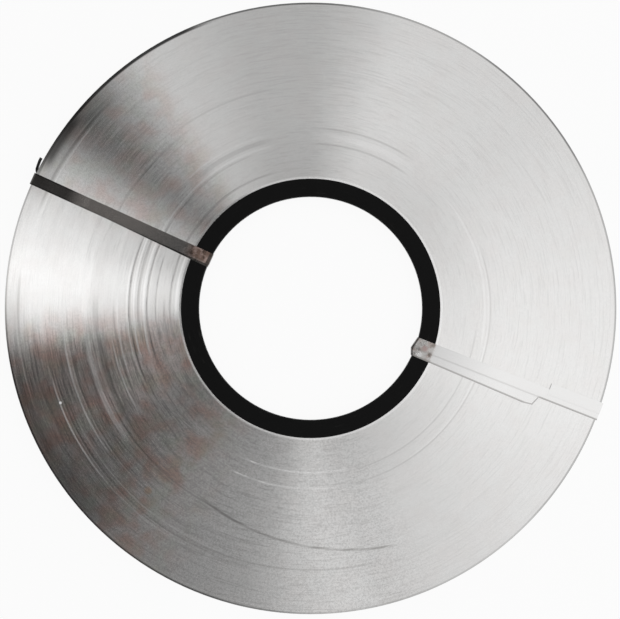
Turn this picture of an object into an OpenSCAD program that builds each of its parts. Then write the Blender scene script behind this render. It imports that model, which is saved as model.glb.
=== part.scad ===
// Coil of nickel strip on a plastic core, lying flat, with two tie strips round its section.
// The coil's axis is Z and the origin is on the floor, under the middle of the bore.
// All sizes are in millimetres and all angles in degrees.

/* [Strip] */
// Width of the strip, which is the height of the coil
strip_w = 8; // [4:0.5:20]
// Thickness of the strip
strip_t = 0.15; // [0.1:0.01:0.3]

/* [Coil] */
// Outer diameter of the wound coil
coil_d = 410; // [300:5:600]
// How far a low group of turns lies under the rest
sunk = 0.2; // [0.05:0.05:0.5]
// How many of the outermost turns lie low
rim_turns = 8; // [2:1:30]
// Length of the strip's loose outer end past the left tie
tail_len = 10; // [4:0.5:30]
// How far the loose end stands off the rim
tail_lift = 2.2; // [0.5:0.1:4]

/* [Core] */
// Diameter of the core's bore
bore_d = 150; // [75:1:210]
// Wall of the core ring
core_wall = 12; // [5:0.5:25]
// How far the core's ends lie inside the coil's faces
core_recess = 0.3; // [0.1:0.05:1]
// Chamfer on the core's edges
core_chamfer = 0.5; // [0.2:0.1:2]

/* [Ties] */
// Direction in which the left tie lies
left_angle = 155.6; // [120:0.1:180]
// Direction in which the right tie lies
right_angle = -21; // [-60:0.1:20]
// Sideways places of the left tie: first end, bore, rim, bore, rim, last end
left_track = [-2.5, -0.6, -2.2, -2.2, -2.4, -2.2]; // [-10:0.1:10]
// Sideways places of the right tie, in the same order
right_track = [-4.3, -1.1, 3, 3.9, 6.9, 6.9]; // [-10:0.1:10]
// Distance of a tie's first end from the rim
tie_end = 41; // [10:1:80]
// Length in which the second wrap climbs onto the first one
tie_climb = 4; // [2:0.5:10]
// How far a tie bows out from the rim
tie_bow = 0.8; // [0.2:0.1:2]
// Length of the snipped corner of a tie's first end
tie_snip = 6; // [2:0.5:12]
// Clearance between a tie's first wrap and what it ties
tie_gap = 0.02; // [0.01:0.01:0.1]
// Clearance between a tie's two wraps
wrap_gap = 0.01; // [0.01:0.01:0.05]

/* [Hidden] */
$fn = 256;
coil_r = coil_d / 2;
bore_r = bore_d / 2;
coil_in_r = bore_r + core_wall;
// Offsets of a tie's two wraps from what it ties
wrap_1 = tie_gap;
wrap_2 = wrap_1 + strip_t + wrap_gap;
// Heights over the floor, on which the lower wraps lie
low = wrap_2 + strip_t;
base = low + sunk;
top = base + strip_w;
mid = base + strip_w / 2;
core_low = base + core_recess;
core_top = top - core_recess;
end_r = coil_r - tie_end;
last_r = end_r + tie_climb + 1;
// Low groups of turns, each as its first turn counted from the core and its number of turns
sunk_groups = [
    [47, 5], [110, 4], [143, 8], [183, 6], [223, 9], [287, 4],
    [407, 7], [447, 4], [507, 8], [553, 4], [590, 5], [707, 7]
];
turn_limit = (coil_r - coil_in_r) / strip_t - 2 * rim_turns;
tail_steps = 8;
tail_root = 0.3;
tail_curl = 115;
nickel = [0.74, 0.73, 0.71];
black = [0.05, 0.05, 0.05];

function reversed(p) = [for (i = [len(p) - 1:-1:0]) p[i]];
function turn_r(n) = coil_in_r + n * strip_t;
// One end of the wound turns, from the core to the rim, with its low groups
function end_face(z) = concat(
    [[coil_in_r, z]],
    [for (g = sunk_groups) if (g[0] + g[1] < turn_limit) each [
        [turn_r(g[0]), z],
        [turn_r(g[0]), z - sunk],
        [turn_r(g[0] + g[1]), z - sunk],
        [turn_r(g[0] + g[1]), z]
    ]],
    [[coil_r - rim_turns * strip_t, z], [coil_r - rim_turns * strip_t, z - sunk / 2], [coil_r, z - sunk / 2]]
);

// The turns are all one strip wide, so the lower end repeats the upper one
module turns() {
    rotate_extrude() polygon(concat(end_face(base), reversed(end_face(top))));
}

// Loose outer end of the strip, which springs off the rim beside the left tie
module tail() {
    side = left_track[2] - strip_w / 2 - 1;
    start = left_angle + asin(side / coil_r);
    step = tail_len / coil_r * 180 / PI / tail_steps;
    function at(i, d) = let (
        a = start - i * step,
        r = coil_r + d - tail_root + (tail_lift + tail_root) * sin(tail_curl * i / tail_steps)
    ) [r * cos(a), r * sin(a)];
    inner = [for (i = [0:tail_steps]) at(i, 0)];
    outer = [for (i = [0:tail_steps]) at(i, strip_t)];
    translate([0, 0, base - sunk / 2]) linear_extrude(strip_w) polygon(concat(inner, reversed(outer)));
}

module strip_coil() {
    color(nickel) union() {
        turns();
        tail();
    }
}

module core_ring() {
    c = core_chamfer;
    color(black) rotate_extrude() polygon([
        [bore_r, core_low + c], [bore_r + c, core_low], [coil_in_r, core_low],
        [coil_in_r, core_top], [bore_r + c, core_top], [bore_r, core_top - c]
    ]);
}

// Section of the strip along one pass, from its inner points and its outer ones
module strip_section(inner, outer) {
    polygon(concat(inner, reversed(outer)));
}

// Pass over the upper face from a free end in to the bore
function first_path(d) = [
    [end_r, top + d], [coil_in_r, top + d], [bore_r - d, core_top + d], [bore_r - d, mid]
];
// Pass under the coil from the bore out to the rim
function under_path(d) = [
    [bore_r - d, mid], [bore_r - d, core_low - d], [coil_in_r, low - d], [coil_r + d / 2, low - d],
    [coil_r + tie_bow + d, low + tie_bow - d / 2], [coil_r + tie_bow + d, mid]
];
// Way up the rim, where the strip bows out, and onto the upper face
function rise(d) = [
    [coil_r + tie_bow + d, mid], [coil_r + tie_bow + d, top - tie_bow + d / 2], [coil_r + d / 2, top + d]
];
// Pass over the upper face from the rim to the bore, which climbs onto the first end
function over_path(d, e) = concat(rise(d), [
    [end_r + tie_climb, top + d], [end_r, top + e], [coil_in_r, top + e],
    [bore_r - e, core_top + e], [bore_r - e, mid]
]);
// Pass over the upper face from the rim in to the last free end
function last_path(d) = concat(rise(d), [[last_r, top + d]]);

// Ground that one pass covers, as wide as the strip, with its sideways places at two radii
module ground(r_in, r_out, y_in, y_out, snip) {
    h = strip_w / 2;
    far = tie_bow + 3;
    lean = (y_out - y_in) / (r_out - r_in);
    corner = snip > 0
        ? [[r_out - snip, y_out - h - snip * lean], [r_out + far, y_out - h + snip / 2]]
        : [[r_out, y_out - h], [r_out + far, y_out - h]];
    linear_extrude(2 * top) polygon(concat(
        [[r_in - far, y_in - h], [r_in, y_in - h]],
        corner,
        [[r_out + far, y_out + h], [r_out, y_out + h], [r_in, y_in + h], [r_in - far, y_in + h]]
    ));
}

// One pass: the turned section of the strip, kept where the pass lies
module strip_pass(inner, outer, r_in, r_out, y_in, y_out, snip = 0) {
    intersection() {
        rotate_extrude() strip_section(inner, outer);
        translate([0, 0, -top / 2]) ground(r_in, r_out, y_in, y_out, snip);
    }
}

// A strip wrapped twice round the section of the coil, with both ends on the upper face
module tie(angle, y) {
    t = strip_t;
    color(nickel) rotate([0, 0, angle]) union() {
        strip_pass(first_path(wrap_1), first_path(wrap_1 + t), bore_r, end_r, y[1], y[0], tie_snip);
        strip_pass(under_path(wrap_1), under_path(wrap_1 + t), bore_r, coil_r, y[1], y[2]);
        strip_pass(over_path(wrap_1, wrap_2), over_path(wrap_1 + t, wrap_2 + t), bore_r, coil_r, y[3], y[2]);
        strip_pass(under_path(wrap_2), under_path(wrap_2 + t), bore_r, coil_r, y[3], y[4]);
        strip_pass(last_path(wrap_2), last_path(wrap_2 + t), last_r, coil_r, y[5], y[4]);
    }
}

module tie_strip_left() {
    tie(left_angle, left_track);
}

module tie_strip_right() {
    tie(right_angle, right_track);
}

strip_coil();
core_ring();
tie_strip_left();
tie_strip_right();
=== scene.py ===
import math
from functools import reduce

import bmesh
import bpy
from bpy.props import FloatProperty, FloatVectorProperty, IntProperty, PointerProperty
from mathutils import Matrix, Vector


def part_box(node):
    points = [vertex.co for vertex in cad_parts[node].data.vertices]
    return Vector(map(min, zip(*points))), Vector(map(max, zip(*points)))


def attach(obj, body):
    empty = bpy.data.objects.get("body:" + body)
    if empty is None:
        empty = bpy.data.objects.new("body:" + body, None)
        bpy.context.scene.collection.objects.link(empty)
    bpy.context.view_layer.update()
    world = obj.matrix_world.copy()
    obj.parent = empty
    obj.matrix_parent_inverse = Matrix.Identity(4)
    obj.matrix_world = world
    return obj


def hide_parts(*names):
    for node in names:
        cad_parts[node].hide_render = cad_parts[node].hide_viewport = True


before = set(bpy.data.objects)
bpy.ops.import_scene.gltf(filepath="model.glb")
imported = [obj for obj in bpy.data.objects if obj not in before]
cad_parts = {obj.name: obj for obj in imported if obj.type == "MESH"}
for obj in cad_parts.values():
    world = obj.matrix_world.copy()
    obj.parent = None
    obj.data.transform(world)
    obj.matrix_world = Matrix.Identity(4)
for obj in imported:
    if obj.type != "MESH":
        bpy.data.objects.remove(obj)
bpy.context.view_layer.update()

bl_info = {
    "name": "Coil of nickel strip",
    "version": (1, 0, 0),
    "blender": (4, 5, 0),
    "location": "View3D > Sidebar > Coil",
    "description": "Dresses a flat coil of nickel strip on its plastic core, with two tie strips",
    "category": "Object",
}

MM = 0.001

coil_low, coil_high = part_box("strip_coil")
core_low, core_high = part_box("core_ring")

# Directions in which the two ties lie, in degrees, and their sideways places in mm: first end,
# bore, rim, bore, rim, last end.
LEFT_ANGLE, RIGHT_ANGLE = 155.6, -21.0
LEFT_TRACK = (-2.5, -0.6, -2.2, -2.2, -2.4, -2.2)
RIGHT_TRACK = (-4.3, -1.1, 2.6, 3.7, 6.9, 6.9)
# Gap between a tie's wraps, length of the second one's climb onto the first, and distance of the
# last end past it, in mm.
WRAP_GAP, TIE_CLIMB, LAST_LAP = 0.01, 4.0, 1.0
# Bend radii of a tie along its face, at the bore and at the rim, and its stand off the bore's
# wall, in mm.
LONG_BEND, BORE_BEND, SNUG_BEND, BORE_STAND = 1.0, 0.5, 0.3, 0.35
# Corners of the cuts at a tie's first end, ahead of that end and sideways of its middle, in mm.
TRIM = ((-9.3, -3.7), (-2.3, -2.8), (0.2, 3.1))
# A slack tie's bulge in mm: sideways place of its top, its two slopes and its reach from the axis.
BULGE_TOP, BULGE_LEFT, BULGE_RIGHT, FOLD_REACH = -0.5, 9.0, 5.5, 75.6
# Changes along a tie's length in mm: end of its first pass and of its bare wrap, start of its last.
FIRST_PASS, BARE_RUN, LAST_PASS = (89.5, 88.5), (279.0, 276.0), (505.0, 508.0)
# Radii in mm between which the left tie's painted dark reflection on its outer runs and both ties'
# painted shade near the core come in.
OUTER_RUN, BLACK_RUN, NEAR_CORE = (169.0, 181.5), (188.0, 204.0), (142.0, 86.0)
# The same for the look over the core, and how much further out the left tie's starts.
OVER_CORE_START, OVER_CORE_END, OVER_CORE_LEFT = 88.5, 86.6, 8.0
# The loose end: steps along it, share of its length where it curls back, and in mm how deep it
# starts in the rim and how far its upper edge leans out.
TAIL_STEPS, TAIL_CURL, TAIL_ROOT, TAIL_LEAN = 24, 0.82, 0.5, 0.8

# Low bands of turns on the coil's end: middle radius and half width in mm, depth as a share
# of the full one, and the middle and half length of the arc in degrees.
LOW_BANDS = (
    (94.0, 0.6, 0.8, 150, 40), (97.9, 0.6, 0.7, 188, 5), (103.7, 0.4, 0.7, 178, 13),
    (109.5, 0.4, 1.0, 172, 20), (109.7, 0.4, 0.6, 132, 16), (110.5, 0.5, 0.7, 72, 12),
    (111.8, 0.4, 0.5, 318, 30), (115.4, 0.8, 0.9, 172, 16), (115.8, 1.6, 0.6, 118, 9),
    (120.6, 0.4, 0.5, 330, 44), (120.9, 0.5, 0.7, 72, 10), (121.3, 0.5, 1.0, 180, 20),
    (131.9, 0.5, 0.7, 194, 9), (144.2, 2.2, 0.7, 195, 12), (144.2, 0.8, 0.5, 142, 10),
    (148.0, 0.5, 0.7, 228, 16), (149.0, 0.6, 0.4, 115, 10), (163.4, 0.5, 0.6, 200, 14),
    (175.4, 0.5, 0.7, 264, 16), (177.0, 0.5, 0.7, 222, 22), (193.4, 0.7, 0.8, 148, 6),
    (196.0, 0.7, 0.8, 185, 6),
)
# Proud turns, with the same figures.
PROUD_BANDS = (
    (89.9, 0.8, 0.8, 168, 14), (110.2, 0.4, 1.0, 264, 14), (111.8, 0.8, 1.0, 174, 17),
    (111.8, 0.6, 0.8, 130, 22), (115.8, 2.4, 0.5, 72, 12), (116.8, 0.6, 0.6, 12, 20),
    (118.5, 0.5, 0.9, 174, 17), (119.4, 0.4, 0.5, 342, 34), (119.6, 0.5, 0.6, 120, 10),
    (120.9, 0.4, 1.0, 261, 12), (123.0, 0.4, 0.7, 180, 12), (129.5, 0.5, 0.7, 189, 5),
    (134.7, 0.5, 0.7, 200, 5), (151.5, 1.8, 0.7, 197, 14), (166.7, 0.5, 0.8, 199, 10),
    (173.6, 0.4, 0.4, 228, 16), (179.9, 0.4, 1.0, 207, 6), (179.9, 0.4, 0.4, 226, 10),
    (191.0, 0.6, 0.8, 149, 5),
)
# Flank of a low and of a proud band in mm, and fade of the bands' ends in degrees.
LOW_FLANK, PROUD_FLANK, BAND_FADE = 0.45, 0.5, 8.0
# How low the ends lie as shares of the full depth: everywhere, by ripple, and in the bands.
EVEN_LOW, RIPPLE, LOWER, PROUDER = 0.45, 0.30, 0.55, 0.42
# Points across the coil's walls, the seam of its sheets in m, and the angles of sharp edges.
WALL_POINTS, SEAM = 3, 0.01 * MM
COIL_SHARP, TIE_SHARP = 55, 20

# Fine circles of the turns' edges, from groups of turns to single ones, and the ripple of the
# ends: circles per metre, breaks round the circle and detail.
STREAKS = ((170.0, 1.2, 1.0), (700.0, 5.0, 1.0), (1700.0, 14.0, 0.0))
RIPPLE_STREAK = (420.0, 1.4, 1.0)
# Radii in mm between which a look of the turns comes in. The last is the loose end's.
INNER_LINE, GREY_ARC, GREY_RING = (88.9, 88.0), (148.8, 147.8), (135.0, 92.0)
RIM_TURNS, BLACK_TURNS, WIDE_TURNS = (203.4, 204.2), (202.2, 203.4), (196.0, 201.5)
SPRUNG = (205.1, 205.3)
# Arcs of the coil's end that differ from the rest: middle, half length and fade in degrees.
ARCS = {
    "left": (172.0, 12.0, 8.0),
    "lower_left": (214.0, 22.0, 10.0),
    "bottom": (264.0, 20.0, 8.0),
    "swirled": (188.0, 20.0, 18.0),
    "dull": (212.0, 18.0, 16.0),
    "rusty": (199.0, 5.0, 8.0),
    "fan": (140.0, 10.0, 10.0),
    "worn": (238.0, 46.0, 14.0),
    "grey": (176.0, 11.0, 8.0),
    "scraped": (265.0, 22.0, 5.0),
    "black_rim": (132.0, 17.0, 8.0),
    "wide_rim": (146.0, 3.0, 4.0),
    "dark_rim": (218.0, 30.0, 12.0),
    "back_rim": (100.0, 12.0, 10.0),
    "right_rim": (42.0, 8.0, 10.0),
    "pale_rim": (292.0, 20.0, 10.0),
}
# Darker stretches of the coil's end: radii in mm between which they come in, arc and strength.
DARKER_STRETCHES = (
    ((186.0, 203.0), (202.0, 16.0, 14.0), 0.35),
    ((190.5, 192.5), (145.0, 9.0, 6.0), 0.30),
    ((118.0, 142.0), (195.0, 4.0, 5.0), 0.28),
)
# A scraped line that winds outward: start in degrees, radius there and growth a radian in m.
SCRAPE_START, SCRAPE_RADIUS, SCRAPE_GROWTH = -114.0, 0.1493, 0.0252
# A bright nick in the turns, in mm.
NICK = (-167.7, -63.3)
# Tarnish spots on the coil's end: place in mm, radius in mm, colour and strength.
SPOTS = (
    ((-109.1, -122.1), 3.5, (0.80, 0.48, 0.26), 0.45),
    ((-103.0, -104.0), 2.5, (0.74, 0.50, 0.34), 0.35),
    ((-91.0, 83.0), 7.0, (0.78, 0.50, 0.42), 0.30),
    ((-150.0, 112.0), 9.0, (0.74, 0.56, 0.52), 0.25),
    ((-140.0, -62.0), 9.0, (0.78, 0.55, 0.55), 0.28),
    ((-118.0, -78.0), 7.0, (0.60, 0.72, 0.58), 0.25),
)
# Stains and a painted highlight on the right tie over the core, with the same figures.
TIE_SPOTS = (
    ((76.7, -27.4), 3.2, (0.54, 0.38, 0.36), 0.8),
    ((82.1, -24.9), 2.2, (0.24, 0.21, 0.18), 0.65),
    ((79.7, -31.2), 2.1, (0.26, 0.21, 0.18), 0.65),
    ((72.8, -30.8), 3.4, (1.00, 0.99, 0.98), 1.0),
)

# Colours of tarnish and dirt on the coil's end, and of painted shade and highlight on it.
RUST = (0.75, 0.48, 0.41)
GREEN_TARNISH = (0.66, 0.76, 0.62)
SPECK = (0.26, 0.255, 0.25)
SOOT_AND_SHADE = (0.36, 0.35, 0.34)
GREY_TURNS = (0.40, 0.395, 0.39)
PROUD_HIGHLIGHT = (0.95, 0.945, 0.94)
SCRAPED = (0.28, 0.27, 0.26)
RIM_SHADE = (0.04, 0.04, 0.04)
DARKER_TONE = (0.22, 0.21, 0.20)
SHADED = (0.01, 0.01, 0.01)
BRIGHT_NICK = (0.95, 0.95, 0.95)
# Colours on the ties, among them painted shade, shadow and dark reflection. Pairs are for the right
# one and the left one.
TIE_WARM = (0.56, 0.45, 0.38)
TIE_DARK_REFLECTION = (0.10, 0.095, 0.09)
TIE_BLACK_REFLECTION_AND_SHADE = (0.02, 0.019, 0.018)
TIE_SHADES = ((0.50, 0.50, 0.50), (0.25, 0.25, 0.25))
TIE_PLAIN = ((0.66, 0.64, 0.62), (0.17, 0.105, 0.08))
TIE_BLOTCH = ((0.54, 0.47, 0.44), (0.36, 0.26, 0.23))
TIE_EDGE_SHADOW = (0.34, 0.33, 0.32)
TIE_UNDER_SHADE = (0.05, 0.047, 0.044)
TIE_FOLD_SHADE = (0.05, 0.045, 0.042)
# Pale scuffs on the core.
SCUFF = (0.06, 0.058, 0.055)

# Posts of the grey curtain round the object, which the metal mirrors: bearing in degrees, and
# brightness at its top and at its foot.
CURTAIN = (
    (-20, 1.00, 1.00), (4, 0.95, 0.95), (40, 0.77, 0.77), (72, 0.80, 0.75),
    (80, 0.69, 0.58), (89, 0.50, 0.48), (104, 0.50, 0.49), (116, 0.60, 0.61),
    (124, 0.64, 0.66), (132, 0.40, 0.31), (140, 0.25, 0.07), (144, 0.32, 0.15),
    (148, 0.43, 0.42), (152, 0.49, 0.66), (164, 0.72, 1.05), (174, 0.98, 1.15),
    (182, 0.74, 1.03), (189, 0.47, 0.16), (193, 0.37, 0.08), (203, 0.31, 0.08),
    (214, 0.20, 0.07), (223, 0.22, 0.10), (230, 0.27, 0.19), (247, 0.34, 0.28),
    (256, 0.41, 0.36), (262, 0.52, 0.47), (265, 0.67, 0.55), (271, 0.75, 0.69),
    (275, 0.71, 0.78), (278, 0.61, 0.80), (284, 0.63, 0.73), (300, 0.69, 0.79),
    (340, 1.00, 1.00),
)
# The curtain's distance in m, its first and last zenith angle in degrees, and the zenith angles
# in radians between which its brightness goes from top to foot.
CURTAIN_AWAY, CURTAIN_ZENITHS, CURTAIN_FADE = 2.0, (10, 82), (0.56, 0.84)
# Cards over the object: brightness, and first and last bearing and zenith angle in degrees.
OVERHEAD = (
    ("card_camera", 0.16, -180, 180, 0.2, 4.2),
    ("card_over_grey", 0.125, 118, 193, 4.2, 18.0),
)
# Their distance in m, and the faces across and down any card.
CARD_AWAY, CARD_COLUMNS, CARD_ROWS = 1.95, 24, 8
# The window light: size in m, power in W, bearing and zenith angle in degrees, and distance in m.
WINDOW_SIZE, WINDOW_POWER = (0.30, 1.1), 0.12
WINDOW_BEARING, WINDOW_ZENITH, WINDOW_AWAY = 174.0, 36.0, 1.8
# Half the floor's width in m.
FLOOR_HALF = 8.0


class Wire:
    """A number on a node's socket; sums on it add Math nodes to its tree."""

    def __init__(self, tree, socket):
        self.tree = tree
        self.socket = socket

    def sum(self, operation, other=None, turned=False):
        node = self.tree.nodes.new("ShaderNodeMath")
        node.operation = operation
        pair = (other, self) if turned else (self, other)
        for socket, value in zip(node.inputs, pair):
            if value is not None:
                feed(self.tree, socket, value)
        return Wire(self.tree, node.outputs[0])

    def __add__(self, other):
        return self.sum("ADD", other)

    __radd__ = __add__

    def __sub__(self, other):
        return self.sum("SUBTRACT", other)

    def __rsub__(self, other):
        return self.sum("SUBTRACT", other, turned=True)

    def __mul__(self, other):
        return self.sum("MULTIPLY", other)

    __rmul__ = __mul__

    def __truediv__(self, other):
        return self.sum("DIVIDE", other)

    def __abs__(self):
        return self.sum("ABSOLUTE")

    def most(self, other):
        return self.sum("MAXIMUM", other)

    def least(self, other):
        return self.sum("MINIMUM", other)

    def root(self):
        return self.sum("SQRT")

    def cosine(self):
        return self.sum("COSINE")

    def sine(self):
        return self.sum("SINE")


def feed(tree, socket, value):
    """Links a wire to a socket, or sets the socket's own value."""
    if isinstance(value, Wire):
        tree.links.new(value.socket, socket)
    else:
        socket.default_value = value


def grey(value):
    return (value, value, value, 1.0)


def rgba(colour):
    """A colour as a socket takes it."""
    return colour if isinstance(colour, Wire) else (*colour[:3], 1.0)


class Board:
    """A node tree in the making."""

    def __init__(self, tree):
        self.tree = tree

    def node(self, kind, sockets=None, settings=None, out=0):
        """Adds a node, sets what it is, then feeds its sockets, and gives one of its outputs."""
        node = self.tree.nodes.new(kind)
        for name, value in (settings or {}).items():
            setattr(node, name, value)
        for name, value in (sockets or {}).items():
            feed(self.tree, node.inputs[name], value)
        return Wire(self.tree, node.outputs[out]) if node.outputs else None

    def attribute(self, name):
        """A number that the mesh carries."""
        return self.node("ShaderNodeAttribute", None, {"attribute_name": name}, out=2)

    def place(self):
        """Object coordinates."""
        return self.node("ShaderNodeTexCoord", out=3)

    def apart(self, vector):
        """The three numbers of a vector."""
        x = self.node("ShaderNodeSeparateXYZ", {0: vector})
        outputs = x.socket.node.outputs
        return tuple(Wire(self.tree, outputs[i]) for i in range(3))

    def vector(self, x, y, z):
        return self.node("ShaderNodeCombineXYZ", {0: x, 1: y, 2: z})

    def vectors(self, operation, *values, out=0):
        sockets = dict(enumerate(values))
        return self.node("ShaderNodeVectorMath", sockets, {"operation": operation}, out)

    def ramp(self, value, start, end):
        """Eases from 0 to 1 while the value goes from start to end."""
        settings = {"interpolation_type": "SMOOTHSTEP"}
        return self.node("ShaderNodeMapRange", {0: value, 1: start, 2: end}, settings)

    def noise(self, vector, scale=1.0, detail=2.0, roughness=0.5):
        sockets = {"Vector": vector, "Scale": scale, "Detail": detail, "Roughness": roughness}
        return self.node("ShaderNodeTexNoise", sockets)

    def mix(self, share, a, b):
        """Mixes two colours."""
        sockets = {0: share, 6: rgba(a), 7: rgba(b)}
        return self.node("ShaderNodeMix", sockets, {"data_type": "RGBA"}, out=2)

    def bump(self, distance, height):
        sockets = {"Strength": 0.3, "Distance": distance, "Height": height}
        return self.node("ShaderNodeBump", sockets)

    def carry(self, geometry, name, value):
        """Puts a number on a mesh or curve under a name."""
        sockets = {"Geometry": geometry, "Name": name, "Value": value}
        return self.node("GeometryNodeStoreNamedAttribute", sockets, {"data_type": "FLOAT"})


def turned_by(x, y, degrees):
    """Distances ahead in a direction and to its left."""
    turn = math.radians(degrees)
    ahead = x * math.cos(turn) + y * math.sin(turn)
    return ahead, y * math.cos(turn) - x * math.sin(turn)


class Around:
    """Places round the coil's axis: how far off it they lie, and in which direction."""

    def __init__(self, board, radius, ux, uy):
        self.board, self.radius, self.ux, self.uy = board, radius, ux, uy

    def past(self, start, end):
        """Eases from 0 to 1 between two distances from the axis in mm."""
        return self.board.ramp(self.radius, start * MM, end * MM)

    def arc(self, middle, half, fade):
        """1 on an arc about a direction in degrees, easing to 0 past its ends."""
        angle = math.radians(middle)
        facing = self.ux * math.cos(angle) + self.uy * math.sin(angle)
        outer = math.cos(math.radians(min(half + fade, 180)))
        return self.board.ramp(facing, outer, math.cos(math.radians(half)))

    def band(self, flank, middle, half, depth, arc, reach):
        """A band of turns: its depth in its middle, and 0 off the band and off its arc."""
        away = abs(self.radius - middle * MM)
        across = self.board.ramp(away, (half + flank) * MM, half * MM * 0.6)
        return across * self.arc(arc, reach, BAND_FADE) * depth

    def bands(self, bands, flank):
        return reduce(Wire.most, (self.band(flank, *band) for band in bands))

    def streak(self, fineness, breaks, detail):
        """Noise drawn out to circles round the axis, about 0."""
        circle = self.board.vector(self.radius * fineness, self.ux * breaks, self.uy * breaks)
        return self.board.noise(circle, 1.0, detail) - 0.5


def around_axis(board, place):
    """Places round the axis, from their coordinates."""
    x, y = board.apart(place)[:2]
    radius = (x * x + y * y).root().most(1e-6)
    return Around(board, radius, x / radius, y / radius)


def geometry_tree(name, inputs):
    """A Geometry Nodes tree with its named inputs, and the wires that leave them."""
    tree = bpy.data.node_groups.new(name, "GeometryNodeTree")
    tree.is_modifier = True
    tree.interface.new_socket("Geometry", in_out="OUTPUT", socket_type="NodeSocketGeometry")
    tree.interface.new_socket("Geometry", in_out="INPUT", socket_type="NodeSocketGeometry")
    for label, kind, note in inputs:
        socket = tree.interface.new_socket(label, in_out="INPUT", socket_type="NodeSocket" + kind)
        socket.description = note
    source = tree.nodes.new("NodeGroupInput")
    wires = {output.name: Wire(tree, output) for output in source.outputs if output.name}
    return tree, Board(tree), wires


def close_tree(board, geometry, finish):
    """Ends a tree in plain faces with their material."""
    real = board.node("GeometryNodeRealizeInstances", {"Geometry": geometry})
    done = board.node("GeometryNodeSetMaterial", {"Geometry": real, "Material": finish})
    sink = board.tree.nodes.new("NodeGroupOutput")
    feed(board.tree, sink.inputs[0], done)


def grown(name, start, tree, values):
    """Runs a tree on a starting mesh and gives the result as a plain mesh of one material."""
    holder = bpy.data.objects.new(name + "_source", start)
    bpy.context.scene.collection.objects.link(holder)
    modifier = holder.modifiers.new("shape", "NODES")
    modifier.node_group = tree
    keys = {i.name: i.identifier for i in tree.interface.items_tree if i.in_out == "INPUT"}
    for label, value in values.items():
        modifier[keys[label]] = value
    holder.update_tag()
    view = bpy.context.evaluated_depsgraph_get()
    view.update()
    mesh = bpy.data.meshes.new_from_object(holder.evaluated_get(view), depsgraph=view)
    holder.modifiers.remove(modifier)
    bpy.data.objects.remove(holder)
    if not mesh.polygons:
        raise RuntimeError(name + " has no faces")
    mesh.name = name
    mesh.materials.clear()
    mesh.materials.append(values["Finish"])
    mesh.polygons.foreach_set("material_index", [0] * len(mesh.polygons))
    return mesh


def piece_from(name, mesh, node):
    """Puts a finished mesh in the scene as the piece that stands for a node."""
    piece = bpy.data.objects.new(name, mesh)
    bpy.context.scene.collection.objects.link(piece)
    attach(piece, "root")
    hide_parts(node)


def fresh_material(name):
    material = bpy.data.materials.new(name)
    material.use_nodes = True
    material.node_tree.nodes.clear()
    return material, Board(material.node_tree)


def close_material(board, shader):
    board.node("ShaderNodeOutputMaterial", {"Surface": shader})


def close_finish(board, sockets):
    close_material(board, board.node("ShaderNodeBsdfPrincipled", sockets))


# Finishes


def spotted(board, colour, place, cloud, spots, height):
    """Lays spots with ragged edges on a colour."""
    for (x, y), reach, shade, strength in spots:
        away = board.vectors("DISTANCE", place, (x * MM, y * MM, height), out=1)
        ragged = away + (cloud - 0.5) * reach * MM
        spot = board.ramp(ragged, reach * MM, reach * MM * 0.2)
        colour = board.mix(spot * strength, colour, shade)
    return colour


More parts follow.
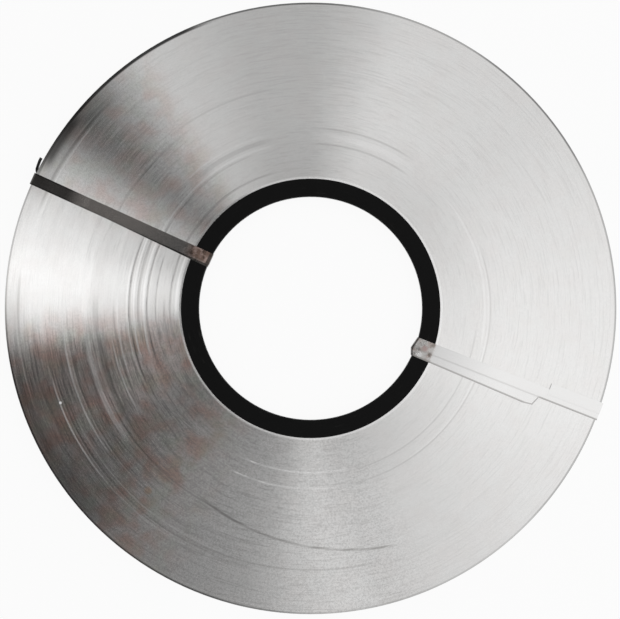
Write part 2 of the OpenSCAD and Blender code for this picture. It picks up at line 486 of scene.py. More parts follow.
class TurnEdges:
    """What the finish of the turns' edges is made from, and the steps that make it."""

    def __init__(self, board, settings):
        self.board, self.settings = board, settings
        self.place = board.place()
        self.ring = around_axis(board, self.place)
        self.low, self.proud = board.attribute("low"), board.attribute("proud")
        self.groups, self.turns, self.fine = (self.ring.streak(*streak) for streak in STREAKS)
        self.normal = board.node("ShaderNodeNewGeometry", out=1)
        nx, ny, nz = board.apart(self.normal)
        self.flat = abs(nz)
        self.arcs = {name: self.ring.arc(*arc) for name, arc in ARCS.items()}
        self.inner_line = self.ring.past(*INNER_LINE)
        self.cloud = board.noise(self.place, 75.0, 1.5)
        facing_out = nx * self.ring.ux + ny * self.ring.uy
        self.sprung = self.ring.past(*SPRUNG) * board.ramp(facing_out, 0.6, 0.3)
        nick = (NICK[0] * MM, NICK[1] * MM, settings.face_height)
        away = board.vectors("DISTANCE", self.place, nick, out=1)
        self.nick = board.ramp(away, 1.3 * MM, 0.6 * MM)

    def leaning(self):
        """Normal of the edges: they lean outward, and each turn does so in its own way."""
        board, ring, arcs, settings = self.board, self.ring, self.arcs, self.settings
        groups, turns, fine = self.groups, self.turns, self.fine
        share = (ring.radius - settings.core_radius) / (settings.rim_radius - settings.core_radius)
        lean = settings.lean + settings.dish * (share - 0.5)
        lean = lean + groups * 0.07 + turns * 0.11 + fine * 0.11
        broken = board.ramp(turns + fine * 0.7, -0.06, 0.14)
        tip = 0.04 - arcs["left"] * 0.08 + arcs["lower_left"] * 0.10
        tip = tip + arcs["bottom"] * broken * 0.36
        lean = (lean * (1.0 - self.inner_line * 0.8) - self.proud * tip) * self.flat
        swirl = groups * 0.018 + turns * 0.016 + fine * 0.015
        swirl = swirl * (0.35 + arcs["swirled"] * 0.75) * self.flat
        tip_x = ring.ux * lean - ring.uy * swirl
        tip_y = ring.uy * lean + ring.ux * swirl
        tipped = board.vectors("ADD", self.normal, board.vector(tip_x, tip_y, 0.0))
        return board.vectors("NORMALIZE", tipped)

    def tarnished(self, colour):
        """Warm and green tarnish in clouds, fine specks and single spots."""
        board, arcs = self.board, self.arcs
        elsewhere = board.vectors("ADD", self.place, (0.31, 0.17, 0.05))
        warm = board.ramp(self.cloud, 0.36, 0.72)
        green = board.ramp(board.noise(elsewhere, 70.0), 0.40, 0.72)
        grain = board.noise(self.place, 900.0, 1.0) - 0.5
        rust = arcs["dull"] * (0.10 + warm * 0.62) + arcs["rusty"] * 0.2
        rust = rust + warm * (0.03 + arcs["fan"] * 0.34)
        colour = board.mix(rust, colour, RUST)
        green = green * (0.02 + arcs["dull"] * 0.35 + arcs["fan"] * 0.2)
        colour = board.mix(green, colour, GREEN_TARNISH)
        speck = board.ramp(grain, -0.16, 0.26) * (0.05 + arcs["worn"] * 0.23 + arcs["fan"] * 0.12)
        colour = board.mix(speck, colour, SPECK)
        return spotted(board, colour, self.place, self.cloud, SPOTS, self.settings.face_height)

    def worn(self, colour):
        """Soot between the turns, painted shade in low bands, grey turns, painted highlight, a
        scraped line.
        """
        board, ring, arcs, turns = self.board, self.ring, self.arcs, self.turns
        # Soot between the turns, and painted shade where the low bands of turns lie.
        soot_and_low_shade = board.ramp(turns + self.fine * 0.8, -0.05, 0.35) * (0.10 + arcs["worn"] * 0.16)
        colour = board.mix(soot_and_low_shade.most(self.low * 0.46), colour, SOOT_AND_SHADE)
        greyed = ring.past(*GREY_ARC) * arcs["grey"] * 0.12 + ring.past(*GREY_RING) * 0.16
        colour = board.mix(greyed, colour, GREY_TURNS)
        # Painted highlight: the proud turns and the innermost turns lighter.
        bare = (self.proud * (0.6 - arcs["left"] * 0.25)).most(self.inner_line * 0.7)
        colour = board.mix(bare, colour, PROUD_HIGHLIGHT)
        angle = ring.uy.sum("ARCTAN2", ring.ux)
        wound_out = (angle - math.radians(SCRAPE_START)) * SCRAPE_GROWTH
        off = abs(ring.radius - wound_out - SCRAPE_RADIUS + turns * 0.6 * MM)
        scrape = board.ramp(off, 1.2 * MM, 0.3 * MM) * arcs["scraped"]
        scrape = scrape * (0.5 + board.ramp(turns, -0.1, 0.1) * 0.5)
        return board.mix(scrape * 0.6, colour, SCRAPED)

    def darkened(self, colour):
        """Painted shade on the outermost turns, darker stretches, the loose end's painted shade and
        a bright nick.
        """
        board, ring, arcs = self.board, self.ring, self.arcs
        # Painted shade: the outermost turns darker on the upper end, black on some arcs.
        back_rim = arcs["back_rim"].most(arcs["right_rim"])
        rim = 0.42 + arcs["dark_rim"] * 0.25 + back_rim * 0.28 - arcs["pale_rim"] * 0.18
        rim = ring.past(*RIM_TURNS) * rim
        rim = rim.most(ring.past(*BLACK_TURNS) * arcs["black_rim"] * 0.97)
        rim = rim.most(ring.past(*WIDE_TURNS) * arcs["wide_rim"] * 0.85)
        colour = board.mix(rim * self.flat, colour, RIM_SHADE)
        # Darker stretches of the upper end.
        shares = (ring.past(*radii) * ring.arc(*arc) * share for radii, arc, share in DARKER_STRETCHES)
        colour = board.mix(reduce(Wire.most, shares), colour, DARKER_TONE)
        colour = board.mix(self.sprung, colour, SHADED)
        return board.mix(self.nick, colour, BRIGHT_NICK)


def wound_edges(settings):
    """Nickel strip seen edge on: thousands of fine circles that spread the light across them."""
    material, board = fresh_material("wound_strip_edges")
    edges = TurnEdges(board, settings)
    colour = edges.worn(edges.tarnished(settings.nickel))
    close_finish(
        board,
        {
            "Base Color": edges.darkened(colour),
            "Metallic": 1.0 - edges.nick.most(edges.sprung),
            "Roughness": settings.roughness + (edges.cloud - 0.5) * 0.06 + edges.sprung * 0.8,
            "Anisotropic": 0.9,
            "Anisotropic Rotation": 0.25,
            "Normal": edges.leaning(),
        },
    )
    return material


def cut_edge(board, settings, ahead, aside):
    """Strip along the cuts at the right tie's first end, where a shadow line is painted."""
    sides = []
    for start, stop in trim_lines(settings, RIGHT_TRACK[0]):
        run, rise = stop[0] - start[0], stop[1] - start[1]
        inside = (aside - start[1] * MM) * run - (ahead - start[0] * MM) * rise
        sides.append(inside / math.hypot(run, rise))
    return board.ramp(reduce(Wire.least, sides), 1.2 * MM, 0.3 * MM)


def rolled_strip(settings):
    """Rolled nickel strip: bright, with fine lengthwise lines, painted shadow along its lower slit
    edges and cuts, painted shade and dark reflections, a painted highlight, and tarnish.
    """
    material, board = fresh_material("rolled_tie_strip")
    place = board.place()
    ring = around_axis(board, place)
    along, across = board.attribute("along"), board.attribute("across")
    left = board.ramp(ring.ux, -0.2, -0.6)
    right = 1.0 - left

    def stretch(start, end):
        return board.ramp(along, start * MM, end * MM)

    lines = board.noise(board.vector(along * 14.0, across * 4200.0, 0.0))
    waves = board.noise(board.vector(along * 55.0, across * 160.0, 3.0))
    cloud = board.noise(place, 260.0, 3.0, 0.6)
    patch = board.ramp(board.noise(place, 230.0, 1.0), 0.42, 0.60)
    first_pass, bare = stretch(*FIRST_PASS), stretch(*BARE_RUN)
    last_pass = stretch(*LAST_PASS)
    outer_run = left * ring.past(*OUTER_RUN)
    core_start = (OVER_CORE_START + left * OVER_CORE_LEFT) * MM
    over_core = board.ramp(ring.radius, core_start, OVER_CORE_END * MM)
    ahead, aside = turned_by(ring.radius * ring.ux, ring.radius * ring.uy, RIGHT_ANGLE)
    bulge = (1.0 - bulge_slope(aside / MM, Wire.most)).most(0.0) * settings.slack
    past_fold = left * ring.radius + right * (ahead + bulge) - settings.bore_radius
    # Painted shade along the fold into the bore.
    fold_shade = board.ramp(past_fold - left * 1.2 * MM, 0.9 * MM, 0.3 * MM)
    slit_edges = outer_run * board.ramp(abs(across), 2.8 * MM, 3.6 * MM)
    near_edge = board.ramp(across * (left * 2.0 - 1.0), 2.4 * MM, 3.5 * MM)
    near_edge = near_edge * (0.25 + bare * 0.55) * (1.0 - last_pass * 0.8)
    trimmed = cut_edge(board, settings, ahead, aside) * first_pass * right

    colour = board.mix(left * 0.45, settings.nickel, TIE_WARM)
    # Painted reflection: the left tie's outer runs dark, its outermost stretch black.
    colour = board.mix(outer_run * 0.85, colour, TIE_DARK_REFLECTION)
    colour = board.mix(left * ring.past(*BLACK_RUN) * 0.6, colour, TIE_BLACK_REFLECTION_AND_SHADE)
    # Painted shade along the slit edges of the left tie's outer runs.
    colour = board.mix(slit_edges * 0.7, colour, TIE_BLACK_REFLECTION_AND_SHADE)
    # Painted shade: both ties darker towards the core.
    near_core = ring.past(*NEAR_CORE) * (0.5 + left * 0.25)
    colour = board.mix(near_core, colour, board.mix(left, *TIE_SHADES))
    metal = board.mix(patch, board.mix(left, *TIE_PLAIN), board.mix(left, *TIE_BLOTCH))
    colour = board.mix(over_core * 0.9, colour, metal)
    # Stains, and a painted highlight on the right tie over the core.
    colour = spotted(board, colour, place, cloud, TIE_SPOTS, settings.face_height)
    # Painted shadow along the ties' lower slit edges and the right tie's cuts.
    colour = board.mix(near_edge.most(trimmed * 0.8), colour, TIE_EDGE_SHADOW)
    # Painted shade on the left tie's first pass, under the wrap that lies over it.
    colour = board.mix(left * first_pass * 0.9, colour, TIE_UNDER_SHADE)
    colour = board.mix(fold_shade * 0.85, colour, TIE_FOLD_SHADE)
    stain = over_core * board.ramp(cloud, 0.30, 0.58)
    close_finish(
        board,
        {
            "Base Color": colour,
            "Metallic": 1.0,
            "Roughness": 0.12 + (lines - 0.5) * 0.08 + stain * 0.20,
            "Normal": board.bump(0.04 * MM, lines * 0.5 + waves * 1.2),
        },
    )
    return material


def moulded_plastic(settings):
    """Black moulded plastic, matt, with a fine grain and a few pale scuffs round the ring."""
    material, board = fresh_material("moulded_black_plastic")
    place = board.place()
    ring = around_axis(board, place)
    cloud = board.noise(place, 60.0, 3.0)
    scuff = ring.streak(1500.0, 6.0, 3.0)
    worn = board.ramp(scuff, 0.12, 0.30) * board.ramp(cloud, 0.42, 0.66)
    close_finish(
        board,
        {
            "Base Color": board.mix(worn * 0.5, settings.plastic, SCUFF),
            "Roughness": 0.5 + (cloud - 0.5) * 0.2 + worn * 0.1,
            "Specular IOR Level": 0.1,
            "Normal": board.bump(0.05 * MM, board.noise(place, 2600.0)),
        },
    )
    return material


def pale_floor(studio):
    """Matt white floor, which the camera and the metal see as plain white with the shadow kept."""
    material, board = fresh_material("pale_floor")
    path = board.node("ShaderNodeLightPath").socket.node.outputs
    kinds = ("Is Camera Ray", "Is Glossy Ray", "Is Transmission Ray")
    seen = reduce(Wire.most, (Wire(board.tree, path[kind]) for kind in kinds))
    lit = board.node("ShaderNodeBsdfDiffuse", {"Color": grey(studio.floor_white)})
    glow = board.node("ShaderNodeEmission", {"Color": grey(1.0), "Strength": 1.0})
    share = seen * studio.floor_glow
    close_material(board, board.node("ShaderNodeMixShader", {0: share, 1: lit, 2: glow}))
    return material


def card_glow(name, first, last):
    """Even glow of a card, which changes from post to post and from its top to its foot."""
    material, board = fresh_material(name)
    x, y, z = board.apart(board.place())
    ahead, aside = turned_by(x, y, (first[0] + last[0]) / 2)
    spread = math.radians(last[0] - first[0])
    share = aside.sum("ARCTAN2", ahead) / spread + 0.5
    rise = z / (x * x + y * y + z * z).root()
    down = board.ramp(rise, *(math.cos(zenith) for zenith in CURTAIN_FADE))
    at_first = board.mix(down, grey(first[1]), grey(first[2]))
    at_last = board.mix(down, grey(last[1]), grey(last[2]))
    colour = board.mix(share, at_first, at_last)
    glow = board.node("ShaderNodeEmission", {"Color": colour, "Strength": 1.0})
    close_material(board, glow)
    return material


# Shapes


def coil_tree():
    """The coil's two ends and its walls as turned sheets, with low and proud bands of turns."""
    tree, board, wires = geometry_tree(
        "turned_coil",
        (
            ("Core Radius", "Float", "Radius of the innermost turn"),
            ("Rim Radius", "Float", "Radius of the outermost turn"),
            ("Strip Width", "Float", "Height of the coil"),
            ("Face Height", "Float", "Height of the upper end over the floor"),
            ("Low Depth", "Float", "How far a low band lies under the rest"),
            ("Rim Band", "Float", "Width of the outermost turns, which lie low"),
            ("Upper Rings", "Int", "Rings of faces on the upper end"),
            ("Lower Rings", "Int", "Rings of faces on the lower end"),
            ("Segments", "Int", "Faces round a ring"),
            ("Finish", "Material", "Finish of the turns"),
        ),
    )
    inner, rim, rim_band = wires["Core Radius"], wires["Rim Radius"], wires["Rim Band"]
    width, face, depth = wires["Strip Width"], wires["Face Height"], wires["Low Depth"]
    u, v = board.apart(board.node("GeometryNodeInputPosition"))[:2]
    u, turn = u + 0.5, (v + 0.5) * (2.0 * math.pi)
    radius = inner + (rim - inner) * u
    ring = Around(board, radius, turn.cosine(), turn.sine())
    low, proud = ring.bands(LOW_BANDS, LOW_FLANK), ring.bands(PROUD_BANDS, PROUD_FLANK)
    edges = board.ramp(u, 0.0, 0.03) * board.ramp(u, 1.0, 0.97)
    sunk = EVEN_LOW + ring.streak(*RIPPLE_STREAK) * RIPPLE + low * LOWER - proud * PROUDER
    at_rim = board.ramp(radius, rim - rim_band, rim - rim_band * 0.5)
    sunk = (sunk * edges).most(at_rim * 0.5)

    def turned(points, at, height, carried=()):
        """A sheet of faces turned round the axis."""
        sockets = {0: 1.0, 1: 1.0, 2: points, 3: wires["Segments"] + 1.0}
        sheet = board.node("GeometryNodeMeshGrid", sockets)
        for name, value in carried:
            sheet = board.carry(sheet, name, value)
        sockets = {"Geometry": sheet, "Position": board.vector(at * ring.ux, at * ring.uy, height)}
        return board.node("GeometryNodeSetPosition", sockets)

    def flipped(sheet):
        return board.node("GeometryNodeFlipFaces", {"Mesh": sheet})

    carried = (("low", low * edges), ("proud", proud * edges))
    height = face - depth * sunk
    wall_drop = width * (1.0 - u)
    sheets = (
        flipped(turned(WALL_POINTS, rim, face - depth * 0.5 - wall_drop)),
        flipped(turned(WALL_POINTS, inner, face - wall_drop)),
        flipped(turned(wires["Lower Rings"] + 1.0, radius, height - width, carried)),
        turned(wires["Upper Rings"] + 1.0, radius, height, carried),
    )
    join = tree.nodes.new("GeometryNodeJoinGeometry")
    for sheet in sheets:
        tree.links.new(sheet.socket, join.inputs[0])
    sockets = {"Geometry": Wire(tree, join.outputs[0]), "Distance": SEAM}
    closed = board.node("GeometryNodeMergeByDistance", sockets)
    smooth = board.node("GeometryNodeSetShadeSmooth", {"Geometry": closed})
    close_tree(board, smooth, wires["Finish"])
    return tree


def loose_end(mesh, settings):
    """Adds the strip's loose outer end, which springs off the rim beside the left tie."""
    width, thick = settings.strip_width, settings.strip_thickness
    rim, lift = settings.rim_radius, settings.tail_lift
    low = settings.face_height - settings.low_depth / 2 - width
    start = math.radians(settings.tail_start)
    sweep = settings.tail_length / rim
    form = bmesh.new()
    form.from_mesh(mesh)
    rings = []
    for i in range(TAIL_STEPS + 1):
        share = i / TAIL_STEPS
        angle = start - sweep * share
        curl = max(0.0, share - TAIL_CURL) / (1.0 - TAIL_CURL)
        sunk = TAIL_ROOT * MM * max(0.0, 1.0 - share * 10.0)
        foot = rim + lift * (0.95 * share ** 0.6 - 0.1 * curl) - sunk
        top = foot + TAIL_LEAN * MM * min(1.0, share * 4.0)
        corners = ((foot, 0.0), (foot + thick, 0.0), (top + thick, width), (top, width))
        x, y = math.cos(angle), math.sin(angle)
        rings.append([form.verts.new((r * x, r * y, low + height)) for r, height in corners])
    faces = [form.faces.new(rings[0]), form.faces.new(reversed(rings[-1]))]
    for near, far in zip(rings, rings[1:]):
        for i in range(4):
            j = (i + 1) % 4
            faces.append(form.faces.new((near[j], near[i], far[i], far[j])))
    bmesh.ops.recalc_face_normals(form, faces=faces)
    for face in faces:
        face.smooth = True
    form.to_mesh(mesh)
    form.free()


def tie_tree():
    """A flat strip swept along a route of straight runs with rounded bends."""
    tree, board, wires = geometry_tree(
        "wrapped_strip",
        (
            ("Strip Width", "Float", "Width of the strip"),
            ("Strip Thickness", "Float", "Thickness of the strip"),
            ("Edge Round", "Float", "Rounding of the strip's slit edges"),
            ("Across", "Vector", "Level direction across the strip"),
            ("Finish", "Material", "Finish of the strip"),
        ),
    )
    route = board.node("GeometryNodeMeshToCurve", {"Mesh": wires["Geometry"]})
    settings = {"data_type": "FLOAT"}
    bend = board.node("GeometryNodeInputNamedAttribute", {"Name": "bend"}, settings)
    sockets = {"Curve": route, "Radius": bend, "Limit Radius": True, "Count": 6}
    route = board.node("GeometryNodeFilletCurve", sockets, {"mode": "POLY"})
    length = board.node("GeometryNodeSplineParameter", out=1)
    route = board.carry(route, "along", length)
    sockets = {"Curve": route, "Normal": wires["Across"]}
    route = board.node("GeometryNodeSetCurveNormal", sockets, {"mode": "FREE"})
    sockets = {"Width": wires["Strip Width"], "Height": wires["Strip Thickness"]}
    section = board.node("GeometryNodeCurvePrimitiveQuadrilateral", sockets)
    sockets = {"Curve": section, "Radius": wires["Edge Round"], "Count": 2}
    section = board.node("GeometryNodeFilletCurve", sockets, {"mode": "POLY"})
    side = board.apart(board.node("GeometryNodeInputPosition"))[0]
    section = board.carry(section, "across", side)
    sockets = {"Curve": route, "Profile Curve": section, "Fill Caps": True}
    strip = board.node("GeometryNodeCurveToMesh", sockets)
    smooth = board.node("GeometryNodeSetShadeSmooth", {"Geometry": strip})
    close_tree(board, smooth, wires["Finish"])
    return tree


def tie_route(settings, track):
    """Corners of a tie's route in mm, as radius, sideways place, height and bend radius."""
    first, bore_1, rim_1, bore_2, rim_2, last = track
    thick, bow = settings.strip_thickness / MM, settings.tie_bow / MM
    near = settings.tie_gap / MM + thick / 2
    far = near + thick + WRAP_GAP
    top, low = settings.face_height / MM, settings.low_height / MM
    bore, inner = settings.bore_radius / MM, settings.core_radius / MM
    rim = settings.rim_radius / MM
    core_top, core_foot = core_high.z / MM, core_low.z / MM
    end = rim - settings.tie_end / MM

    def between(a, b, share):
        return a + (b - a) * share

    def leg(d, y_in, y_out):
        """Down the bore's wall, out under the coil and up the rim."""
        return [
            (bore - BORE_STAND - d, y_in, core_top + d, BORE_BEND),
            (bore - BORE_STAND - d, y_in, core_foot - d, BORE_BEND),
            (inner, between(y_in, y_out, 0.1), low - d, SNUG_BEND),
            (rim + d / 2, y_out, low - d, SNUG_BEND),
            (rim + bow + d, y_out, low + bow - d / 2, SNUG_BEND),
            (rim + bow + d, y_out, top - bow + d / 2, SNUG_BEND),
            (rim + d / 2, y_out, top + d, SNUG_BEND),
        ]

    return [
        (end, first, top + near, 0.0),
        (inner, between(bore_1, first, 0.13), top + near, LONG_BEND),
        *leg(near, bore_1, rim_1),
        (end + TIE_CLIMB, between(rim_1, bore_2, 0.28), top + near, LONG_BEND),
        (end, between(rim_1, bore_2, 0.31), top + far, LONG_BEND),
        (inner, between(bore_2, rim_1, 0.1), top + far, LONG_BEND),
        *leg(far, bore_2, rim_2),
        (end + TIE_CLIMB + LAST_LAP, last, top + far, 0.0),
    ]


def route_mesh(name, route, angle):
    """The route as a line of edges in its place, with the bend radius on each corner."""
    turn = Matrix.Rotation(math.radians(angle), 3, "Z")
    places = [turn @ Vector(corner[:3]) * MM for corner in route]
    mesh = bpy.data.meshes.new(name)
    mesh.from_pydata(places, [(i, i + 1) for i in range(len(places) - 1)], [])
    bends = mesh.attributes.new("bend", "FLOAT", "POINT")
    for item, corner in zip(bends.data, route):
        item.value = corner[3] * MM
    return mesh


def parts_of(faces):
    """Faces with their edges and corners, as bmesh cuts want them."""
    edges = dict.fromkeys(e for f in faces for e in f.edges)
    verts = dict.fromkeys(v for f in faces for v in f.verts)
    return [*faces, *edges, *verts]


def trim_lines(settings, first):
    """Two cuts at a tie's first end in mm, as distance from the axis and sideways place: its
    snipped corner and its slanted end."""
    end = (settings.rim_radius - settings.tie_end) / MM
    snip, corner, slant = ((end + ahead, first + aside) for ahead, aside in TRIM)
    return ((snip, corner), (corner, slant))


def trim_first_end(mesh, angle, lines):
    """Cuts a tie's first end along upright planes and closes it again."""
    turn = Matrix.Rotation(math.radians(angle), 3, "Z")
    form = bmesh.new()
    form.from_mesh(mesh)
    along = form.verts.layers.float["along"]
    reach = min(v[along] for v in form.verts if v[along] > 1e-6) + 1e-6
    for start, stop in lines:
        near, far = (turn @ Vector((*place, 0.0)) * MM for place in (start, stop))
        outward = Vector((far.y - near.y, near.x - far.x, 0.0)).normalized()
        faces = [f for f in form.faces if all(v[along] < reach for v in f.verts)]
        cut = bmesh.ops.bisect_plane(
            form, geom=parts_of(faces), plane_co=near, plane_no=outward, clear_outer=True
        )
        rim = [e for e in cut["geom_cut"] if isinstance(e, bmesh.types.BMEdge)]
        bmesh.ops.contextual_create(form, geom=rim)
    bmesh.ops.recalc_face_normals(form, faces=form.faces)
    form.to_mesh(mesh)
    form.free()


def bulge_slope(aside, most):
    """How far a slack tie's bulge has fallen off at a sideways place in mm: 0 at its top and 1 at
    its foot."""
    off = aside - BULGE_TOP
    return most(off / BULGE_LEFT, off / -BULGE_RIGHT)


def bulge_at_bore(mesh, angle, rise):
    """Pushes a slack tie's folds off the bore's wall, with a crease down the top of the bulge."""
    turn = math.radians(angle)
    ahead = Vector((math.cos(turn), math.sin(turn), 0.0))
    aside = Vector((-math.sin(turn), math.cos(turn), 0.0))
    reach = FOLD_REACH * MM
    form = bmesh.new()
    form.from_mesh(mesh)
    faces = [f for f in form.faces if any(v.co.dot(ahead) < reach for v in f.verts)]
    crease = aside * BULGE_TOP * MM
    bmesh.ops.bisect_plane(form, geom=parts_of(faces), plane_co=crease, plane_no=aside)
    for v in form.verts:
        if v.co.dot(ahead) < reach:
            v.co -= ahead * rise * max(0.0, 1.0 - bulge_slope(v.co.dot(aside) / MM, max))
    form.to_mesh(mesh)
    form.free()


def curved_card(name, first, last, zeniths, distance):
    """A curved card of the studio, which the metal mirrors and the camera doesn't see."""
    bearing, spread = (first[0] + last[0]) / 2, last[0] - first[0]
    points, faces = [], []
    for j in range(CARD_ROWS + 1):
        zenith = math.radians(zeniths[0] + (zeniths[1] - zeniths[0]) * j / CARD_ROWS)
        flat, height = math.sin(zenith) * distance, math.cos(zenith) * distance
        for i in range(CARD_COLUMNS + 1):
            turn = math.radians(bearing + spread * (i / CARD_COLUMNS - 0.5))
            if i and j:
                here = len(points)
                above = here - CARD_COLUMNS - 1
                faces.append((above - 1, above, here, here - 1))
            points.append((flat * math.cos(turn), flat * math.sin(turn), height))
    mesh = bpy.data.meshes.new(name)
    mesh.from_pydata(points, [], faces)
    mesh.materials.append(card_glow(name + "_glow", first, last))
    card = bpy.data.objects.new(name, mesh)
    bpy.context.scene.collection.objects.link(card)
    card.visible_camera = False


# Settings


def length_of(name, note, default):
    return FloatProperty(name=name, description=note, default=default, unit="LENGTH", precision=5)


def number_of(name, note, default):
    return FloatProperty(name=name, description=note, default=default)


def count_of(name, note, default):
    return IntProperty(name=name, description=note, default=default)


def colour_of(name, note, default):
    return FloatVectorProperty(
        name=name, description=note, default=default, subtype="COLOR", size=3, min=0.0, max=1.0
    )


class CoilSettings(bpy.types.PropertyGroup):
    """Sizes and finish of the coil, its core and its ties."""

    core_radius: length_of("Core Radius", "Radius of the innermost turn", core_high.x)
    bore_radius: length_of("Bore Radius", "Radius of the core's bore", 75 * MM)
    rim_radius: length_of("Rim Radius", "Radius of the outermost turn", coil_high.x)
    strip_width: length_of("Strip Width", "Width of the strip", 8 * MM)
    strip_thickness: length_of("Strip Thickness", "Thickness of the strip", 0.15 * MM)
    face_height: length_of("Face Height", "Height of the coil's upper end", coil_high.z)
    low_height: length_of("Low Height", "Height of the coil's lowest turns", coil_low.z)
    low_depth: length_of("Low Depth", "How far a low band lies under the rest", 0.2 * MM)
    rim_band: length_of("Rim Band", "Width of the low outermost turns", 1.2 * MM)
    tail_length: length_of("Tail Length", "Length of the loose outer end", 10.9 * MM)
    tail_lift: length_of("Tail Lift", "How far the loose end stands off the rim", 2.2 * MM)
    tail_start: number_of("Tail Start", "Direction in degrees where the loose end starts", 153.84)
    tie_gap: length_of("Tie Gap", "Clearance under a tie", 0.02 * MM)
    tie_end: length_of("Tie End", "Distance of a tie's first end from the rim", 41 * MM)
    tie_bow: length_of("Tie Bow", "How far a tie bows out from the rim", 0.8 * MM)
    edge_round: length_of("Edge Round", "Rounding of a tie's slit edges", 0.04 * MM)
    slack: length_of("Slack", "How far the right tie's folds stand off the bore", 2.1 * MM)
    upper_rings: count_of("Upper Rings", "Rings of faces on the upper end", 300)
    lower_rings: count_of("Lower Rings", "Rings of faces on the lower end", 150)
    segments: count_of("Segments", "Faces round a ring", 192)
    nickel: colour_of("Nickel", "Colour of the nickel", (0.855, 0.850, 0.843))
    plastic: colour_of("Plastic", "Colour of the core's plastic", (0.004, 0.004, 0.004))
    roughness: number_of("Roughness", "Roughness of the turns' edges", 0.18)
    lean: number_of("Lean", "Outward lean of the turns' edges", 0.28)
    dish: number_of("Dish", "Growth of that lean from core to rim", 0.12)


class StudioSettings(bpy.types.PropertyGroup):
    """Camera, floor and light."""

    distance: length_of("Camera Distance", "Height of the camera over the coil's face", 1.5)
    view_width: length_of("View Width", "Width of the image at the coil's face", 415.6 * MM)
    view_shift: length_of("View Shift", "Image's middle below the coil's", 0.75 * MM)
    view_aside: length_of("View Aside", "Image's middle left of the coil's", 0.4 * MM)
    floor_white: number_of("Floor White", "Paint of the floor", 0.85)
    floor_glow: number_of("Floor Glow", "Share of plain white in the floor", 0.93)
    sky: number_of("Tent", "Brightness of the white tent round the object", 1.0)


# Operators


class COIL_OT_studio(bpy.types.Operator):
    """Sets the camera, the white floor and the soft light with its cards"""

    bl_idname = "coil.studio"
    bl_label = "Studio"

    def execute(self, context):
        scene, studio = context.scene, context.scene.coil_studio
        scene.view_settings.view_transform = "Standard"
        self.set_camera(scene, studio)
        self.lay_floor(scene, studio)
        self.hang_tent(scene, studio)
        self.set_window(scene)
        return {"FINISHED"}

    def set_camera(self, scene, studio):
        lens = bpy.data.cameras.new("camera")
        lens.sensor_width = 36.0
        lens.lens = lens.sensor_width * studio.distance / studio.view_width
        lens.clip_end = 100.0
        camera = bpy.data.objects.new("camera", lens)
        height = scene.coil_settings.face_height + studio.distance
        camera.location = (-studio.view_aside, -studio.view_shift, height)
        scene.collection.objects.link(camera)
        scene.camera = camera

    def lay_floor(self, scene, studio):
        half = FLOOR_HALF
        mesh = bpy.data.meshes.new("floor")
        corners = [(-half, -half, 0.0), (half, -half, 0.0), (half, half, 0.0), (-half, half, 0.0)]
        mesh.from_pydata(corners, [], [(0, 1, 2, 3)])
        mesh.materials.append(pale_floor(studio))
        floor = bpy.data.objects.new("floor", mesh)
        scene.collection.objects.link(floor)

    def hang_tent(self, scene, studio):
        world = bpy.data.worlds.new("white_tent")
        world.use_nodes = True
        world.node_tree.nodes.clear()
        board = Board(world.node_tree)
        sockets = {"Color": grey(1.0), "Strength": studio.sky}
        tent = board.node("ShaderNodeBackground", sockets)
        board.node("ShaderNodeOutputWorld", {"Surface": tent})
        scene.world = world
        for i, (first, last) in enumerate(zip(CURTAIN, CURTAIN[1:])):
            curved_card("curtain_%02d" % i, first, last, CURTAIN_ZENITHS, CURTAIN_AWAY)
        for name, shade, first, last, top, foot in OVERHEAD:
            posts = (first, shade, shade), (last, shade, shade)
            curved_card(name, *posts, (top, foot), CARD_AWAY)

    def set_window(self, scene):
        lamp = bpy.data.lights.new("window_light", "AREA")
        lamp.shape = "RECTANGLE"
        lamp.size, lamp.size_y = WINDOW_SIZE
        lamp.energy = WINDOW_POWER
        light = bpy.data.objects.new("window_light", lamp)
        turn, zenith = math.radians(WINDOW_BEARING), math.radians(WINDOW_ZENITH)
        flat = math.sin(zenith)
        away = Vector((flat * math.cos(turn), flat * math.sin(turn), math.cos(zenith)))
        light.location = away * WINDOW_AWAY
        light.rotation_mode = "QUATERNION"
        light.rotation_quaternion = away.to_track_quat("Z", "Y")
        light.visible_camera = False
        scene.collection.objects.link(light)


class COIL_OT_turns(bpy.types.Operator):
    """Makes the wound strip with its low bands of turns and its loose outer end"""

    bl_idname = "coil.turns"
    bl_label = "Wound Strip"

    def execute(self, context):
        s = context.scene.coil_settings
        values = {
            "Core Radius": s.core_radius,
            "Rim Radius": s.rim_radius,
            "Strip Width": s.strip_width,
            "Face Height": s.face_height,
            "Low Depth": s.low_depth,
            "Rim Band": s.rim_band,
            "Upper Rings": s.upper_rings,
            "Lower Rings": s.lower_rings,
            "Segments": s.segments,
            "Finish": wound_edges(s),
        }
        start = bpy.data.meshes.new("wound_strip_start")
        mesh = grown("wound_strip", start, coil_tree(), values)
        loose_end(mesh, s)
        mesh.set_sharp_from_angle(angle=math.radians(COIL_SHARP))
        piece_from("wound_strip", mesh, "strip_coil")
        return {"FINISHED"}


class COIL_OT_core(bpy.types.Operator):
    """Gives the core ring its black moulded plastic"""

    bl_idname = "coil.core"
    bl_label = "Core Ring"

    def execute(self, context):
        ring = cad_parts["core_ring"]
        plastic = moulded_plastic(context.scene.coil_settings)
        for slot in ring.material_slots:
            slot.material = plastic
        return {"FINISHED"}


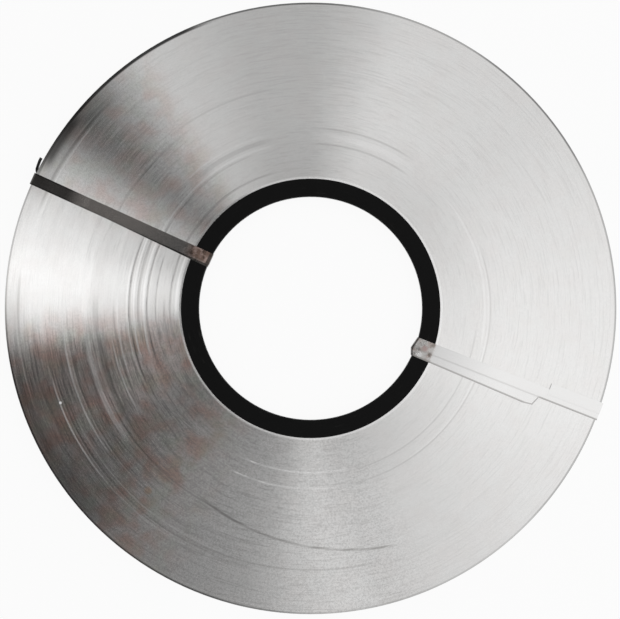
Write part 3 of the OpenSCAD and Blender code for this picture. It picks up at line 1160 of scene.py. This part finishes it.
class COIL_OT_ties(bpy.types.Operator):
    """Wraps the two tie strips round the coil's section"""

    bl_idname = "coil.ties"
    bl_label = "Tie Strips"

    def execute(self, context):
        s = context.scene.coil_settings
        finish = rolled_strip(s)
        tree = tie_tree()
        left = ("left", LEFT_ANGLE, LEFT_TRACK, 0.0)
        right = ("right", RIGHT_ANGLE, RIGHT_TRACK, s.slack)
        for side, angle, track, slack in (left, right):
            name = "wrapped_tie_" + side
            turn = math.radians(angle)
            values = {
                "Strip Width": s.strip_width,
                "Strip Thickness": s.strip_thickness,
                "Edge Round": s.edge_round,
                "Across": (-math.sin(turn), math.cos(turn), 0.0),
                "Finish": finish,
            }
            route = route_mesh(name + "_route", tie_route(s, track), angle)
            mesh = grown(name, route, tree, values)
            trim_first_end(mesh, angle, trim_lines(s, track[0]))
            if slack:
                bulge_at_bore(mesh, angle, slack)
            mesh.set_sharp_from_angle(angle=math.radians(TIE_SHARP))
            piece_from(name, mesh, "tie_strip_" + side)
        return {"FINISHED"}


class COIL_PT_panel(bpy.types.Panel):
    """Lists the steps that dress the coil"""

    bl_idname = "COIL_PT_panel"
    bl_label = "Coil of nickel strip"
    bl_space_type = "VIEW_3D"
    bl_region_type = "UI"
    bl_category = "Coil"

    def draw(self, context):
        for operator in OPERATORS:
            self.layout.operator(operator.bl_idname)


OPERATORS = (COIL_OT_studio, COIL_OT_turns, COIL_OT_core, COIL_OT_ties)
CLASSES = (CoilSettings, StudioSettings, *OPERATORS, COIL_PT_panel)


def register():
    for item in CLASSES:
        bpy.utils.register_class(item)
    bpy.types.Scene.coil_settings = PointerProperty(type=CoilSettings)
    bpy.types.Scene.coil_studio = PointerProperty(type=StudioSettings)


def unregister():
    del bpy.types.Scene.coil_studio
    del bpy.types.Scene.coil_settings
    for item in reversed(CLASSES):
        bpy.utils.unregister_class(item)


def main():
    register()
    bpy.ops.coil.studio()
    bpy.ops.coil.turns()
    bpy.ops.coil.core()
    bpy.ops.coil.ties()


if __name__ == "__main__":
    main()
